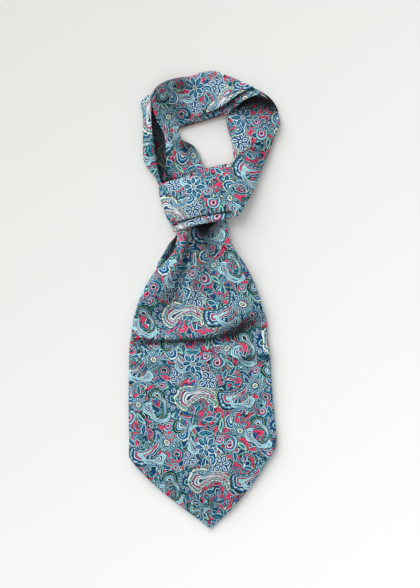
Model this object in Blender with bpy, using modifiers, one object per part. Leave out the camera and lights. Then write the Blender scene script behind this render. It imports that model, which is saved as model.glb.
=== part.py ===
"""Silk cravat, tied and laid flat: a folded neck loop, a wrapped knot and two pointed blades.

Blender 4.5, metres, +Z up. The cravat lies on the XY plane with its front blade pointing to -Y.
The origin is at the middle of the whole cravat's box, on the surface it lies on.
Every piece is a loft of sections across the cloth, made into a wall by a Solidify modifier.
"""

import math

import bmesh
import bpy
import numpy as np

MM = 0.001

# Driving dimensions, in millimetres
WALL = 1.2              # two thicknesses of silk, sewn face to face
GAP = 0.3               # between pieces at a seam and between layers that lie on each other
FLOOR_LAYER = WALL / 2  # height of the middle of a wall that lies on the surface
SECOND_LAYER = FLOOR_LAYER + WALL + GAP
BLADE_DROOP = 4.5       # margin over which the front blade's edge sinks to the surface
UNDER_TIP = -200.0      # the under blade is the shorter end
SEAM_NECK = 94.5        # height on the page of the seam between neckband and front blade


def table(columns, *rows):
    """Rows of millimetre values as dictionaries, one name for each column."""
    names = columns.split()
    return [dict(zip(names, row)) for row in rows]


# Front blade: its two edges, from the gathered neck under the knot down to the point
BLADE_EDGES = table(
    "y left right",
    (SEAM_NECK - GAP, -23, 16),
    (80, -26, 24.5),
    (72, -28, 24.5),
    (62, -27.5, 25.8),
    (50, -30, 31.5),
    (38, -39, 40.4),
    (30, -48.6, 44.6),
    (20, -55, 49.6),
    (8, -61.5, 54.6),
    (-4, -66, 58.8),
    (-16, -70, 62.2),
    (-28, -72.6, 64.2),
    (-52, -75, 66.4),
    (-88, -75.8, 69),
    (-124, -75.4, 71.8),
    (-141, -75.2, 72.9),
    (-149, -75.2, 72.2),
    (-157.6, -75.1, 66.4),
    (-172, -62.8, 57.2),
    (-190, -43.6, 43.4),
    (-208, -21.2, 27.4),
    (-228.5, 5.5, 5.5),
)

# Rows of the front blade: close together over the folds, further apart where it lies flat
BLADE_ROWS = table(
    "start stop step",
    (SEAM_NECK - GAP, 30, 5.4),
    (30, -62, 6.6),
    (-62, -157.6, 15.9),
    (-157.6, -228.5, 11.8),
)
BLADE_ACROSS = (0, 0.034, 0.06, 0.12, 0.19, 0.26, 0.33, 0.40, 0.47, 0.54, 0.61, 0.68, 0.75, 0.82, 0.89, 0.94,
                0.966, 1)

# Ridges (positive) and troughs (negative) in the front blade: a line on the page, the
# half width of the fold across it, and its height at both ends
BLADE_FOLDS = table(
    "x0 y0 x1 y1 width rise0 rise1",
    (-21, 96, -23, 62, 6.5, 4.5, 7.6),     # left pleat, out of the knot
    (-23, 62, -35, 32, 8.0, 7.6, 5.0),
    (-35, 32, -54, 8, 10.0, 5.0, 2.0),
    (13, 96, 19, 66, 6.0, 4.5, 7.2),       # right pleat, out of the knot
    (19, 66, 27, 38, 7.0, 7.2, 4.0),
    (27, 38, 44, 10, 10.0, 4.0, 1.5),
    (8, 30, 12, 2, 20.0, 2.0, 4.5),        # the middle swells below the gathers
    (-45, -28, 24, -24, 11.0, 2.5, 5.0),   # fold straight across the blade
    (24, -24, 50, -12, 9.0, 5.0, 2.5),
    (-68, -57, -38, -56, 7.0, 1.8, 1.2),   # short creases below it
    (36, -50, 62, -51, 6.0, 2.0, 2.4),
)

# Under blade: rows from the knot down, each with its left and right end
UNDER_ROWS = table(
    "left_x left_y right_x right_y",
    (-27, 76.3, 22, 84.4),
    (-29.5, 64, 24, 70),
    (-39.6, 50, 28, 52),
    (-44, 42, 33, 42),
    (-47.5, 33, 37, 32),
    (-55.5, 8, 47.5, 8),
    (-64, -16, 55, -16),
    (-68.5, -52, 59.5, -52),
    (-69.5, -110, 64, -110),
    (-68, -138, 65, -138),
    (-48, -158, 47, -158),
    (-22, -180, 25, -180),
    (2, UNDER_TIP, 2.6, UNDER_TIP),
)

# Left stretch of the neckband, from under the knot up to the corner: its outer and inner edge,
# how far each edge is folded back over it and how high that fold stands
LEFT_ROWS = table(
    "outer_x outer_y inner_x inner_y base over inner lift_over lift_inner",
    (-27, SEAM_NECK, 12, SEAM_NECK, SECOND_LAYER, 5, 26, 3.6, 6.0),
    (-36, 111, 6, 118, SECOND_LAYER, 6, 31, 4.2, 6.4),
    (-45.5, 121.5, 2, 131, SECOND_LAYER, 6, 36, 5.6, 7.0),
    (-55, 131, -1.5, 135.5, 1.4, 8, 38, 8.0, 8.0),
    (-61, 144, -4.5, 146, FLOOR_LAYER, 9, 34, 9.0, 9.0),
    (-61.3, 155, -9.4, 154, FLOOR_LAYER, 9, 29, 9.0, 7.0),
    (-61.3, 165, -21.5, 162, FLOOR_LAYER, 9, 17, 9.5, 8.0),
    (-61.4, 178, -25.5, 170.5, FLOOR_LAYER, 9, 15, 9.5, 9.0),
    (-62.4, 190, -26.2, 171.8, FLOOR_LAYER, 9, 18, 9.0, 8.0),
    (-60.2, 200.7, -25.7, 172.3, FLOOR_LAYER, 9, 20, 7.6, 6.0),
)

# Top stretch, round the back of the neck; its right end rises over the right stretch
TOP_ROWS = table(
    "outer_x outer_y inner_x inner_y base over inner lift_over lift_inner",
    (-59.8, 201.2, -25.3, 172.8, FLOOR_LAYER, 36, 7, 7.6, 3.2),
    (-49.5, 212.5, -20.5, 173.5, FLOOR_LAYER, 40, 9, 8.5, 3.6),
    (-33, 220.5, -12, 175.7, FLOOR_LAYER, 42, 12, 10.0, 4.0),
    (-17, 223.5, -3.1, 178.2, FLOOR_LAYER, 41, 13, 11.0, 4.4),
    (0, 229, 6, 180.7, FLOOR_LAYER, 42, 14, 11.5, 4.6),
    (15, 227.6, 14.6, 183.3, FLOOR_LAYER, 37, 14, 11.5, 4.8),
    (29, 223, 24, 186.6, 3.0, 28, 13, 10.5, 4.6),
    (43, 216, 34.4, 195.2, 5.5, 15, 10, 7.5, 4.2),
    (57.5, 208.2, 51.5, 203, 7.5, 4.5, 3.2, 3.6, 3.0),
)

# Right stretch, from under the top stretch down to the knot: its two edges and its heights
RIGHT_ROWS = table(
    "inner_x inner_y outer_x outer_y bow z_inner z_middle z_outer",
    (33, 200, 58.5, 207.5, 0, FLOOR_LAYER, FLOOR_LAYER, FLOOR_LAYER),
    (26, 192, 68.6, 199, 1, FLOOR_LAYER, FLOOR_LAYER, 1.6),
    (22.6, 184.5, 74.8, 188, 0, FLOOR_LAYER, 1.6, 2.4),
    (22.8, 176, 76.3, 176.5, 0, 0.7, 4.6, 2.6),
    (26, 165, 72.6, 162.5, 0, 1.0, 5.8, 3.0),
    (28.4, 153, 65.6, 149, 0, 1.4, 5.4, 3.2),
    (29.2, 142.5, 58.4, 131.5, 0, 2.4, 5.8, 3.2),
    (27.3, 138.2, 50.4, 113.3, 0, 3.6, 7.4, 2.8),
)

# Front of the knot: on from the right stretch, over the neck and round its left side
WRAP_ROWS = table(
    "inner_x inner_y outer_x outer_y bow z_inner z_middle z_outer",
    (26.9, 137.7, 50.0, 112.7, 0, 3.6, 7.4, 2.8),
    (23.5, 137, 39.8, 92.5, 1, 6.5, 11.5, 3.8),
    (15, 134.5, 27, 89.8, 1, 9.0, 16.0, 10.0),
    (2, 132, 14, 87, 0, 10.8, 18.6, 13.4),
    (-10.4, 127.3, -1, 84.4, 0, 11.8, 20.2, 15.2),
    (-26, 120.6, -17, 80.8, 0, 12.0, 19.8, 15.0),
    (-37, 118.4, -28.5, 76.8, 1.0, 10.2, 16.6, 12.0),
    (-44.4, 115.4, -33.6, 74, 2.2, 6.6, 10.5, 6.5),
    (-45.8, 112.2, -35, 74.6, 2.2, 3.4, 5.0, 3.4),
    (-44.8, 111.2, -34.4, 75.4, 2.0, 1.4, 1.8, 1.4),
    (-41.5, 110.8, -31.5, 76, 1.6, FLOOR_LAYER, FLOOR_LAYER, FLOOR_LAYER),
    (-37, 111.4, -28, 76.5, 1.0, FLOOR_LAYER, FLOOR_LAYER, FLOOR_LAYER),
)

# Pleat of the front of the knot: a strip that shows below its lower edge, tucked under it
PLEAT_ROWS = table(
    "inner_x inner_y outer_x outer_y bow z_inner z_middle z_outer",
    (33, 92, 35.6, 85.4, 0, 3.2, 3.2, 2.4),
    (21, 96, 21.6, 80.8, 0, 9.0, 10.0, 9.4),
    (7, 95, 5.4, 77.6, 0, 12.0, 13.0, 11.4),
    (-8, 92, -10.6, 73.8, 0, 12.4, 13.2, 12.0),
    (-21, 88, -22.4, 70.4, 0, 11.0, 11.8, 10.8),
    (-28, 84, -29, 68.2, 0, 7.4, 8.2, 7.4),
)

# Back of the knot, flat under it, where the band passes behind
BACK_ROWS = table(
    "inner_x inner_y outer_x outer_y bow z_inner z_middle z_outer",
    (-36.7, 111.4, -27.7, 76.6, 1.0, FLOOR_LAYER, FLOOR_LAYER, FLOOR_LAYER),
    (-18, 117, -7, 80.1, 0, FLOOR_LAYER, FLOOR_LAYER, FLOOR_LAYER),
    (4, 123, 9, 82.8, 0, FLOOR_LAYER, FLOOR_LAYER, FLOOR_LAYER),
    (20, 126, 23, 85.1, 0, FLOOR_LAYER, FLOOR_LAYER, FLOOR_LAYER),
)

# Printed silk: colour, roughness
SILK = {
    "outer": ((0.10, 0.20, 0.26, 1), 0.55),
    "loop": ((0.13, 0.23, 0.30, 1), 0.55),
    "hidden": ((0.05, 0.11, 0.17, 1), 0.60),
}


def clear_scene():
    for thing in list(bpy.data.objects):
        bpy.data.objects.remove(thing)


def silk_material(kind):
    name = "printed silk, " + kind
    material = bpy.data.materials.get(name)
    if material is None:
        colour, roughness = SILK[kind]
        material = bpy.data.materials.new(name)
        material.use_nodes = True
        shader = material.node_tree.nodes["Principled BSDF"]
        shader.inputs["Base Color"].default_value = colour
        shader.inputs["Roughness"].default_value = roughness
        shader.inputs["Metallic"].default_value = 0.0
    return material


def smooth_rows(rows, per_row):
    """More rows on smooth curves through the given ones, per_row steps between each two.

    The curves may swing past a row, so heights are kept from sinking into the surface.
    """
    names = list(rows[0])
    values = np.array([[row[name] for name in names] for row in rows], dtype=float)
    padded = np.vstack([2 * values[0] - values[1], values, 2 * values[-1] - values[-2]])
    finer = []
    for index in range(len(rows) - 1):
        before, start, stop, after = padded[index:index + 4]
        for step in range(per_row):
            t = step / per_row
            finer.append(0.5 * (2 * start + (stop - before) * t
                                + (2 * before - 5 * start + 4 * stop - after) * t ** 2
                                + (3 * start - before - 3 * stop + after) * t ** 3))
    finer.append(values[-1])
    resting = [k for k, name in enumerate(names) if name == "base" or name.startswith("z_")]
    for row in finer:
        row[resting] = np.maximum(row[resting], FLOOR_LAYER)
    return [dict(zip(names, row)) for row in finer]


def fold_height(x, y, fold):
    """Height that one ridge or trough adds: a soft bell across its line, fading past its ends."""
    run_x, run_y = fold["x1"] - fold["x0"], fold["y1"] - fold["y0"]
    along = ((x - fold["x0"]) * run_x + (y - fold["y0"]) * run_y) / (run_x ** 2 + run_y ** 2)
    along = min(max(along, 0), 1)
    away = math.hypot(x - fold["x0"] - along * run_x, y - fold["y0"] - along * run_y)
    rise = fold["rise0"] + (fold["rise1"] - fold["rise0"]) * along
    return rise * math.exp(-(away / fold["width"]) ** 2)


def blade_height(x, y, left, right):
    """Middle of the front blade's wall: it lies on the under blade and its edges sink beside it."""
    highest = 0.0
    lowest = 0.0
    for fold in BLADE_FOLDS:
        rise = fold_height(x, y, fold)
        highest = max(highest, rise)
        lowest = min(lowest, rise)
    edge = min(min(x - left, right - x) / BLADE_DROOP, 1)
    edge = min(edge, max((y - BLADE_EDGES[-1]["y"]) / (2 * BLADE_DROOP), 0))
    held_up = min(max((y - 36) / 12, 0), 1)
    return FLOOR_LAYER + (SECOND_LAYER - FLOOR_LAYER) * max(edge, held_up) + highest + lowest


def blade_sections():
    heights = []
    for part in BLADE_ROWS:
        count = round((part["start"] - part["stop"]) / part["step"])
        heights += list(np.linspace(part["start"], part["stop"], count, endpoint=False))
    heights.append(BLADE_ROWS[-1]["stop"])
    falling = [-row["y"] for row in BLADE_EDGES]
    sections = []
    for y in heights:
        left = np.interp(-y, falling, [row["left"] for row in BLADE_EDGES])
        right = np.interp(-y, falling, [row["right"] for row in BLADE_EDGES])
        across = [left + (right - left) * share for share in BLADE_ACROSS]
        sections.append([(x, y, blade_height(x, y, left, right)) for x in across])
    return sections


def flat_sections(rows, columns):
    """Straight sections of cloth lying on the surface."""
    sections = []
    for row in rows:
        start = np.array([row["left_x"], row["left_y"]])
        stop = np.array([row["right_x"], row["right_y"]])
        points = [start + (stop - start) * k / columns for k in range(columns + 1)]
        sections.append([(x, y, FLOOR_LAYER) for x, y in points])
    return sections


def bowed_sections(rows, columns, per_row):
    """Sections that arch between their two edges, and bow sideways by the bow column."""
    sections = []
    for row in smooth_rows(rows, per_row):
        inner = np.array([row["inner_x"], row["inner_y"]])
        outer = np.array([row["outer_x"], row["outer_y"]])
        across = (outer - inner) / np.linalg.norm(outer - inner)
        side = np.array([across[1], -across[0]])
        section = []
        for k in range(columns + 1):
            share = k / columns
            arch = 4 * share * (1 - share)
            x, y = inner + (outer - inner) * share + side * row["bow"] * arch
            edge = row["z_inner"] + (row["z_outer"] - row["z_inner"]) * share
            middle = row["z_middle"] - (row["z_inner"] + row["z_outer"]) / 2
            section.append((x, y, max(edge + middle * arch, FLOOR_LAYER)))
        sections.append(section)
    return sections


def turned_edge(radius, steps):
    """Half circle from over the cloth round its edge to under it, as (inwards, up) pairs."""
    angles = [math.pi / 2 + math.pi * k / steps for k in range(steps + 1)]
    return [(radius * (1 + math.cos(a)), radius * (1 + math.sin(a))) for a in angles]


def folded_section(row, flap_steps=3, turn_steps=5, base_steps=4):
    """One section of the neckband: both edges folded back over the layer underneath."""
    width = math.hypot(row["inner_x"] - row["outer_x"], row["inner_y"] - row["outer_y"])
    outer_turn = turned_edge(row["lift_over"] / 2, turn_steps)
    inner_turn = turned_edge(row["lift_inner"] / 2, turn_steps)
    profile = []
    for k in range(flap_steps):
        u = row["over"] + (outer_turn[0][0] - row["over"]) * k / flap_steps
        profile.append((u, row["lift_over"] * (0.88 + 0.12 * k / flap_steps)))
    profile += outer_turn
    start, stop = outer_turn[-1][0], width - inner_turn[-1][0]
    profile += [(start + (stop - start) * k / base_steps, 0) for k in range(1, base_steps)]
    profile += [(width - u, z) for u, z in reversed(inner_turn)]
    for k in range(1, flap_steps + 1):
        u = inner_turn[0][0] + (row["inner"] - inner_turn[0][0]) * k / flap_steps
        profile.append((width - u, row["lift_inner"] * (1 - 0.12 * k / flap_steps)))
    run_x = (row["inner_x"] - row["outer_x"]) / width
    run_y = (row["inner_y"] - row["outer_y"]) / width
    return [(row["outer_x"] + run_x * u, row["outer_y"] + run_y * u, row["base"] + z) for u, z in profile]


def cloth_wall(collection, name, sections, kind):
    """Joins the sections into one surface and gives it its thickness."""
    mesh = bpy.data.meshes.new(name)
    bm = bmesh.new()
    rows = [[bm.verts.new([value * MM for value in point]) for point in section] for section in sections]
    for row, following in zip(rows, rows[1:]):
        for k in range(len(row) - 1):
            bm.faces.new((row[k], following[k], following[k + 1], row[k + 1]))
    bmesh.ops.remove_doubles(bm, verts=bm.verts, dist=0.05 * MM)
    bmesh.ops.recalc_face_normals(bm, faces=bm.faces)
    bm.to_mesh(mesh)
    bm.free()
    mesh.shade_smooth()
    cloth = bpy.data.objects.new(name, mesh)
    collection.objects.link(cloth)
    mesh.materials.append(silk_material(kind))
    solidify = cloth.modifiers.new("Wall", "SOLIDIFY")
    solidify.thickness = WALL * MM
    solidify.offset = 0
    return cloth


def build():
    clear_scene()
    collection = bpy.data.collections.new("silk_cravat")
    bpy.context.scene.collection.children.link(collection)
    cloth_wall(collection, "blade_front", blade_sections(), "outer")
    cloth_wall(collection, "blade_under", flat_sections(UNDER_ROWS, 6), "hidden")
    left = [folded_section(row) for row in smooth_rows(LEFT_ROWS, 2)]
    cloth_wall(collection, "band_left", left, "loop")
    top = [folded_section(row) for row in smooth_rows(TOP_ROWS, 2)]
    cloth_wall(collection, "band_top", top, "loop")
    cloth_wall(collection, "band_right", bowed_sections(RIGHT_ROWS, 8, 2), "loop")
    cloth_wall(collection, "knot_wrap", bowed_sections(WRAP_ROWS, 8, 2), "outer")
    cloth_wall(collection, "knot_pleat", bowed_sections(PLEAT_ROWS, 4, 2), "outer")
    cloth_wall(collection, "knot_back", bowed_sections(BACK_ROWS, 4, 1), "hidden")


build()
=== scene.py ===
import math
import bpy
import numpy as np
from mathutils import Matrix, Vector, noise


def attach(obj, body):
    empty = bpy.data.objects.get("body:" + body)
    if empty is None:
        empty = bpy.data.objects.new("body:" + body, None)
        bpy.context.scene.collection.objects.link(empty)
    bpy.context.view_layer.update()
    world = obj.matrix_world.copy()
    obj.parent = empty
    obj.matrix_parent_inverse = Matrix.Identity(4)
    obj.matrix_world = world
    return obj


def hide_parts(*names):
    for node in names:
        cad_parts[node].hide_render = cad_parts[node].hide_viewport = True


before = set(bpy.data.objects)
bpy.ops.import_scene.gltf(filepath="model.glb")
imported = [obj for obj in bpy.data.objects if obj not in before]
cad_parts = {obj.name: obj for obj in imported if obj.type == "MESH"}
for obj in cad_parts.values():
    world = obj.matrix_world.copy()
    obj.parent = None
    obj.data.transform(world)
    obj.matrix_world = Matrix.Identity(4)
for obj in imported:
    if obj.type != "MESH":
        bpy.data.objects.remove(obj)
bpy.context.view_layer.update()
mm = 0.001

# Silk twill sewn double, in mm. Its walls are thinner than the CAD's, which stand for two layers and a seam.
# "fine" is the width of its faces, "mostRoll" the most of the width that a rolled edge or a tuck may take
cloth = {"wall": 0.9, "fine": 1.4, "leastStep": 2.0, "leastAcross": 8, "rollSteps": 7, "tuckSteps": 3,
         "mostRoll": 0.45, "smoothAngle": 50, "uvName": "cloth"}
flatLayer = {"wall": 0.6, "lie": 1.3, "roll": 0.65}  # a layer that lies flat on the surface


def hexColour(text):
    channels = [int(text[k:k + 2], 16) / 255 for k in (1, 3, 5)]
    return tuple(c / 12.92 if c <= 0.04045 else ((c + 0.055) / 1.055) ** 2.4 for c in channels) + (1,)


def table(names, *rows):
    return {key: np.array([row[k] for row in rows], dtype=float) for k, key in enumerate(names.split())}


def flatTable(names, *rows):
    # the rows of a flat layer: only its edges differ from row to row
    level, roll = (np.full(len(rows), flatLayer[key]) for key in ("lie", "roll"))
    return {**table(names, *rows), "z0": level, "r0": roll, "z1": level, "r1": roll, "rise": 0 * level}


def straightRead(values, at):
    return np.interp(at, range(len(values)), values)


def smoothRead(values, at):
    # a smooth curve through the values, read at fractional places along them
    last = len(values) - 1
    padded = np.concatenate([[2 * values[0] - values[1]], values, [2 * values[-1] - values[-2]]])
    k = np.clip(np.floor(at).astype(int), 0, last - 1)
    past = at - k
    a, b, c, d = padded[k], padded[k + 1], padded[k + 2], padded[k + 3]
    bend, twist = 2 * a - 5 * b + 4 * c - d, 3 * b - a - 3 * c + d
    return 0.5 * (2 * b + (c - a) * past + bend * past ** 2 + twist * past ** 3)


def creaseLift(x, y, crease):
    # a soft ridge or trough along a bent line: its height and its width on either side change bend by bend
    best = np.full(x.shape, np.inf)
    lift = np.zeros(x.shape)
    for (x0, y0, h0, left0, right0), (x1, y1, h1, left1, right1) in zip(crease, crease[1:]):
        runX, runY = x1 - x0, y1 - y0
        length = math.hypot(runX, runY)
        along = np.clip(((x - x0) * runX + (y - y0) * runY) / length ** 2, 0, 1)
        away = np.hypot(x - x0 - along * runX, y - y0 - along * runY)
        side = (runX * (y - y0) - runY * (x - x0)) / length
        width = np.where(side > 0, left0 + (left1 - left0) * along, right0 + (right1 - right0) * along)
        value = (h0 + (h1 - h0) * along) * np.exp(-(away / width) ** 2)
        closer = away < best
        best = np.where(closer, away, best)
        lift = np.where(closer, value, lift)
    return lift


def rumple(x, y, size, seed):
    # slack waves about as wide as the size given
    places = zip(x.ravel() / size, y.ravel() / size)
    return np.array([noise.noise(Vector((*place, seed))) for place in places]).reshape(x.shape)


def surfaceLift(piece, x, y):
    lift = np.zeros(x.shape)
    for crease in piece.get("creases", []):
        lift = lift + creaseLift(x, y, crease)
    for size, height, seed in piece.get("rumples", []):
        lift = lift + height * rumple(x, y, size, seed)
    return lift


def sectionShape(piece, row, width, fine):
    # sections of the cloth: how far across and how high each point is, and how much of the creases it takes
    roll0, roll1 = (np.minimum(row[key], width * cloth["mostRoll"]) for key in ("r0", "r1"))
    angle = np.linspace(math.pi * 1.5, math.pi * 0.5, cloth["rollSteps"] + 1)[None, :]
    edge0, zEdge0 = roll0 * (1 + np.cos(angle)), row["z0"] - roll0 + roll0 * np.sin(angle)
    edge1, zEdge1 = width - edge0 / roll0 * roll1, row["z1"] - roll1 + roll1 * np.sin(angle)
    count = max(int(width.max() / fine), cloth["leastAcross"])
    share = np.linspace(0, 1, count + 1)[None, 1:-1]
    top = roll0 + (width - roll0 - roll1) * share
    arch = (4 * share * (1 - share)) ** piece.get("crown", 1.0)
    zTop = row["z0"] + (row["z1"] - row["z0"]) * share + row["rise"] * arch
    under = np.linspace(1, 0, cloth["tuckSteps"], endpoint=False)[None, :]
    tuck = np.minimum(piece["tuck"], (width - roll0 - roll1) * cloth["mostRoll"])
    tuck0, zTuck0 = roll0 + tuck * under, row["z0"] - 2 * roll0 + 0 * under
    tuck1, zTuck1 = width - roll1 - tuck * under, row["z1"] - 2 * roll1 + 0 * under
    across = np.concatenate([tuck0, edge0, top, edge1[:, ::-1], tuck1[:, ::-1]], axis=1)
    z = np.concatenate([zTuck0, zEdge0, zTop, zEdge1[:, ::-1], zTuck1[:, ::-1]], axis=1)
    side = np.concatenate([0 * under, (1 + np.sin(angle)) / 2], axis=1)
    weight = np.concatenate([side, np.ones((1, share.shape[1])), side[:, ::-1]], axis=1) + 0 * across
    return across, z, weight


def sectionPoints(piece):
    # rows run along the cloth, each a section from its first edge to its second: where both are, how high and
    # by what radius they roll under, how far the middle rises, and how far it bows to the right. Gives back
    # where each point lies, and where it would if its section were flattened
    rows = piece["rows"]
    path = np.hypot(np.diff((rows["x0"] + rows["x1"]) / 2), np.diff((rows["y0"] + rows["y1"]) / 2))
    reach = np.concatenate([[0], np.cumsum(np.maximum(path, cloth["leastStep"]))])
    fine = piece.get("fine", cloth["fine"])
    at = np.interp(np.linspace(0, reach[-1], int(reach[-1] / fine) + 1), reach, np.arange(len(reach)))
    read = smoothRead if piece.get("smooth", True) else straightRead
    row = {key: read(values, at)[:, None] for key, values in rows.items()}
    width = np.hypot(row["x1"] - row["x0"], row["y1"] - row["y0"])
    dirX, dirY = (row["x1"] - row["x0"]) / width, (row["y1"] - row["y0"]) / width
    across, z, weight = sectionShape(piece, row, width, fine)
    share = np.clip(across / width, 0, 1)
    bow = row.get("bow", 0) * 4 * share * (1 - share)
    x = row["x0"] + dirX * across + dirY * bow
    y = row["y0"] + dirY * across - dirX * bow
    low = np.minimum(z, piece.get("low", 0))  # creases press the cloth no lower than this
    z = np.maximum(z + weight * surfaceLift(piece, x, y), low)
    for leanX, leanY, crease in piece.get("leans", []):
        lean = weight * creaseLift(x, y, crease)
        x, y = x + leanX * lean, y + leanY * lean
    steps = np.hypot(np.diff(across, axis=1), np.diff(z, axis=1))
    reach = np.concatenate([np.zeros((len(across), 1)), np.cumsum(steps, axis=1)], axis=1)
    middle = across.shape[1] // 2
    reach = reach - reach[:, middle:middle + 1]
    flatX = x[:, middle:middle + 1] + dirX * reach
    flatY = y[:, middle:middle + 1] + dirY * reach
    return np.stack([x, y, z], axis=2), np.stack([flatX, flatY], axis=2)


def facesUp(points):
    # whether a grid's faces look up once its points are placed, read at the middle of the sheet
    i, j = points.shape[0] // 2, points.shape[1] // 2
    return np.cross(points[i, j + 1] - points[i, j], points[i + 1, j] - points[i, j])[2] >= 0


def laySheet(name, piece):
    # a flat grid of cloth whose points are then moved to where they lie
    points, flat = sectionPoints(piece)
    rowCount, columnCount = points.shape[0] - 1, points.shape[1] - 1
    bpy.ops.object.select_all(action="DESELECT")
    bpy.ops.mesh.primitive_grid_add(x_subdivisions=columnCount, y_subdivisions=rowCount, size=1)
    sheet = bpy.context.active_object
    sheet.name = sheet.data.name = name
    mesh = sheet.data
    start = np.empty(len(mesh.vertices) * 3)
    mesh.vertices.foreach_get("co", start)
    start = start.reshape(-1, 3)
    column = np.rint((start[:, 0] + 0.5) * columnCount).astype(int)
    row = np.rint((start[:, 1] + 0.5) * rowCount).astype(int)
    mesh.vertices.foreach_set("co", (points[row, column] * mm).ravel())
    # painted shade: one attribute says how far the inks are darkened in folds and hollows, the other how far
    # the rim's brown covers them
    for mark in ("paintedShade", "rims"):  # how far the inks sink into shade, or give way to the rim's brown
        amount = np.zeros(points.shape[:2])
        for crease in piece.get(mark, []):
            line = np.minimum(creaseLift(points[..., 0], points[..., 1], crease), 1)
            amount = 1 - (1 - amount) * (1 - line)
        layer = mesh.attributes.new(mark, "FLOAT", "POINT")
        layer.data.foreach_set("value", np.clip(amount, 0, 1)[row, column].astype(np.float32))
    layer = mesh.uv_layers[0]
    layer.name = cloth["uvName"]
    corner = np.empty(len(mesh.loops), dtype=int)
    mesh.loops.foreach_get("vertex_index", corner)
    turn = math.radians(piece["grain"])
    flatX, flatY = (flat[row, column][corner] * mm).T
    spun = np.stack([flatX * math.cos(turn) + flatY * math.sin(turn),
                     -flatX * math.sin(turn) + flatY * math.cos(turn)], axis=1)
    layer.data.foreach_set("uv", (spun + np.array(piece["printAt"]) * mm).ravel())
    if not facesUp(points):
        bpy.ops.object.mode_set(mode="EDIT")
        bpy.ops.mesh.select_all(action="SELECT")
        bpy.ops.mesh.flip_normals()
        bpy.ops.object.mode_set(mode="OBJECT")
    wall = sheet.modifiers.new("Wall", "SOLIDIFY")
    wall.thickness = piece.get("wall", cloth["wall"]) * mm
    wall.offset = -1
    bpy.ops.object.modifier_apply(modifier="Wall")
    bpy.ops.object.shade_smooth_by_angle(angle=math.radians(cloth["smoothAngle"]))
    return sheet


def put(tree, kind, inputs=(), out=0, **settings):
    # adds a node, fills its settings, feeds its inputs in order or by name, and gives back an output of it
    node = tree.nodes.new("ShaderNode" + kind)
    for key, value in settings.items():
        if key == "bands":  # flat bands of ink, each from where it starts; None lets what is below show
            reach, bands = value
            ramp = node.color_ramp
            ramp.interpolation = "CONSTANT"
            for k, (start, ink) in enumerate(bands):
                element = ramp.elements[0] if k == 0 else ramp.elements.new(start / reach)
                element.position = start / reach
                element.color = hexColour(inks[ink]) if ink else (0, 0, 0, 0)
            ramp.elements.remove(ramp.elements[-1])
        else:
            setattr(node, key, value)
    for key, value in (inputs.items() if isinstance(inputs, dict) else enumerate(inputs)):
        if isinstance(value, bpy.types.NodeSocket):
            tree.links.new(value, node.inputs[key])
        elif value is not None:
            node.inputs[key].default_value = value
    return node.outputs[out] if out is not None else node


def maths(tree, operation, *values, **settings):
    return put(tree, "Math", values, operation=operation, **settings)


# A Mix node's sockets for colours are numbered, because their names are those of its other sockets too
mixShare, mixBelow, mixAbove, mixOut = 0, 6, 7, 2


def blend(tree, share, below, above):
    return put(tree, "Mix", {mixShare: share, mixBelow: below, mixAbove: above}, out=mixOut, data_type="RGBA")


inks = {"crimson": "#df4069", "navy": "#163a6e", "night": "#0a1524", "blue": "#2773b6", "teal": "#1e7d88",
        "sea": "#40a7ae", "aqua": "#9fdcdc", "cream": "#f3faec", "mist": "#d2effc", "olive": "#a8b67a"}

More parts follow.
